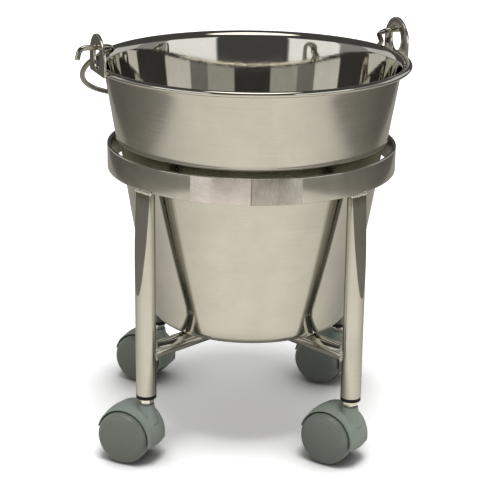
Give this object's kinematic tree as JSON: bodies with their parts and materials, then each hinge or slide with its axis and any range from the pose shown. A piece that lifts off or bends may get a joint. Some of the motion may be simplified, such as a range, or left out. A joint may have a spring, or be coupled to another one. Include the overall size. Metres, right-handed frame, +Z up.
{
  "type": "surgical kick bucket",
  "caption": "Stainless steel kick bucket with a wire bail, standing loose in a ring frame with tube legs on swivel casters.",
  "frame": {"origin": "on the floor, under the middle of the bucket", "axes": "+Z up; -Y is the front, where the ring's seam is; the legs stand at 45 degrees to X and Y"},
  "size_m": [0.3125, 0.2952, 0.3955],
  "materials": {
    "bucket_steel": "satin outside, polished inside",
    "ear_steel": "satin",
    "wire_steel": "bright drawn wire",
    "weld_metal": "as welded",
    "tube_steel": "satin",
    "ring_steel": "satin, ground at the seam",
    "plug_plastic": "moulded",
    "nut_plating": "plated",
    "pin_steel": "machined",
    "hood_plastic": "moulded",
    "wheel_plastic": "moulded"
  },
  "bodies": {
    "frame": {"support_ring": "ring_steel", "ring_seam_weld": "weld_metal", "leg_front_left": "tube_steel", "leg_front_right": "tube_steel", "leg_rear_left": "tube_steel", "leg_rear_right": "tube_steel", "leg_plug_front_left": "plug_plastic", "leg_plug_front_right": "plug_plastic", "leg_plug_rear_left": "plug_plastic", "leg_plug_rear_right": "plug_plastic", "leg_ring_welds": "weld_metal", "cross_tube_through": "tube_steel", "cross_tube_front_right": "tube_steel", "cross_tube_rear_left": "tube_steel", "cross_tube_leg_welds": "weld_metal", "cross_tube_centre_welds": "weld_metal", "caster_stem_front_left": "pin_steel", "caster_stem_front_right": "pin_steel", "caster_stem_rear_left": "pin_steel", "caster_stem_rear_right": "pin_steel", "caster_lock_nuts": "nut_plating"},
    "bucket": {"bucket_shell": "bucket_steel", "ear_right": "ear_steel", "ear_left": "ear_steel", "ear_welds": "weld_metal"},
    "bail": {"bail_wire": "wire_steel"},
    "caster_front_left": {"caster_hood_front_left": "hood_plastic", "caster_axle_front_left": "pin_steel"},
    "wheel_a_front_left": {"wheel_a_front_left": "wheel_plastic"},
    "wheel_b_front_left": {"wheel_b_front_left": "wheel_plastic"},
    "caster_front_right": {"caster_hood_front_right": "hood_plastic", "caster_axle_front_right": "pin_steel"},
    "wheel_a_front_right": {"wheel_a_front_right": "wheel_plastic"},
    "wheel_b_front_right": {"wheel_b_front_right": "wheel_plastic"},
    "caster_rear_left": {"caster_hood_rear_left": "hood_plastic", "caster_axle_rear_left": "pin_steel"},
    "wheel_a_rear_left": {"wheel_a_rear_left": "wheel_plastic"},
    "wheel_b_rear_left": {"wheel_b_rear_left": "wheel_plastic"},
    "caster_rear_right": {"caster_hood_rear_right": "hood_plastic", "caster_axle_rear_right": "pin_steel"},
    "wheel_a_rear_right": {"wheel_a_rear_right": "wheel_plastic"},
    "wheel_b_rear_right": {"wheel_b_rear_right": "wheel_plastic"}
  },
  "joints": [
    {"name": "bucket_lift", "type": "slide", "parent": "frame", "child": "bucket", "axis": [0, 0, 1], "range_m": [0, 0.18]},
    {"name": "bail_swing", "type": "hinge", "parent": "bucket", "child": "bail", "pos_m": [0, 0, 0.3835], "axis": [0.9304, 0.3665, 0], "range_deg": [0, 240]},
    {"name": "swivel_front_left", "type": "hinge", "parent": "frame", "child": "caster_front_left", "pos_m": [-0.09489, -0.09489, 0.045], "axis": [0, 0, 1], "continuous": true},
    {"name": "roll_a_front_left", "type": "hinge", "parent": "caster_front_left", "child": "wheel_a_front_left", "pos_m": [-0.11071, -0.08765, 0.025], "axis": [-0.4163, -0.9092, 0], "continuous": true},
    {"name": "roll_b_front_left", "type": "hinge", "parent": "caster_front_left", "child": "wheel_b_front_left", "pos_m": [-0.11071, -0.08765, 0.025], "axis": [-0.4163, -0.9092, 0], "continuous": true},
    {"name": "swivel_front_right", "type": "hinge", "parent": "frame", "child": "caster_front_right", "pos_m": [0.09489, -0.09489, 0.045], "axis": [0, 0, 1], "continuous": true},
    {"name": "roll_a_front_right", "type": "hinge", "parent": "caster_front_right", "child": "wheel_a_front_right", "pos_m": [0.08025, -0.08549, 0.025], "axis": [-0.5402, -0.8415, 0], "continuous": true},
    {"name": "roll_b_front_right", "type": "hinge", "parent": "caster_front_right", "child": "wheel_b_front_right", "pos_m": [0.08025, -0.08549, 0.025], "axis": [-0.5402, -0.8415, 0], "continuous": true},
    {"name": "swivel_rear_left", "type": "hinge", "parent": "frame", "child": "caster_rear_left", "pos_m": [-0.09489, 0.09489, 0.045], "axis": [0, 0, 1], "continuous": true},
    {"name": "roll_a_rear_left", "type": "hinge", "parent": "caster_rear_left", "child": "wheel_a_rear_left", "pos_m": [-0.11026, 0.10306, 0.025], "axis": [-0.4695, -0.8829, 0], "continuous": true},
    {"name": "roll_b_rear_left", "type": "hinge", "parent": "caster_rear_left", "child": "wheel_b_rear_left", "pos_m": [-0.11026, 0.10306, 0.025], "axis": [-0.4695, -0.8829, 0], "continuous": true},
    {"name": "swivel_rear_right", "type": "hinge", "parent": "frame", "child": "caster_rear_right", "pos_m": [0.09489, 0.09489, 0.045], "axis": [0, 0, 1], "continuous": true},
    {"name": "roll_a_rear_right", "type": "hinge", "parent": "caster_rear_right", "child": "wheel_a_rear_right", "pos_m": [0.07982, 0.10359, 0.025], "axis": [-0.5, -0.866, 0], "continuous": true},
    {"name": "roll_b_rear_right", "type": "hinge", "parent": "caster_rear_right", "child": "wheel_b_rear_right", "pos_m": [0.07982, 0.10359, 0.025], "axis": [-0.5, -0.866, 0], "continuous": true}
  ]
}
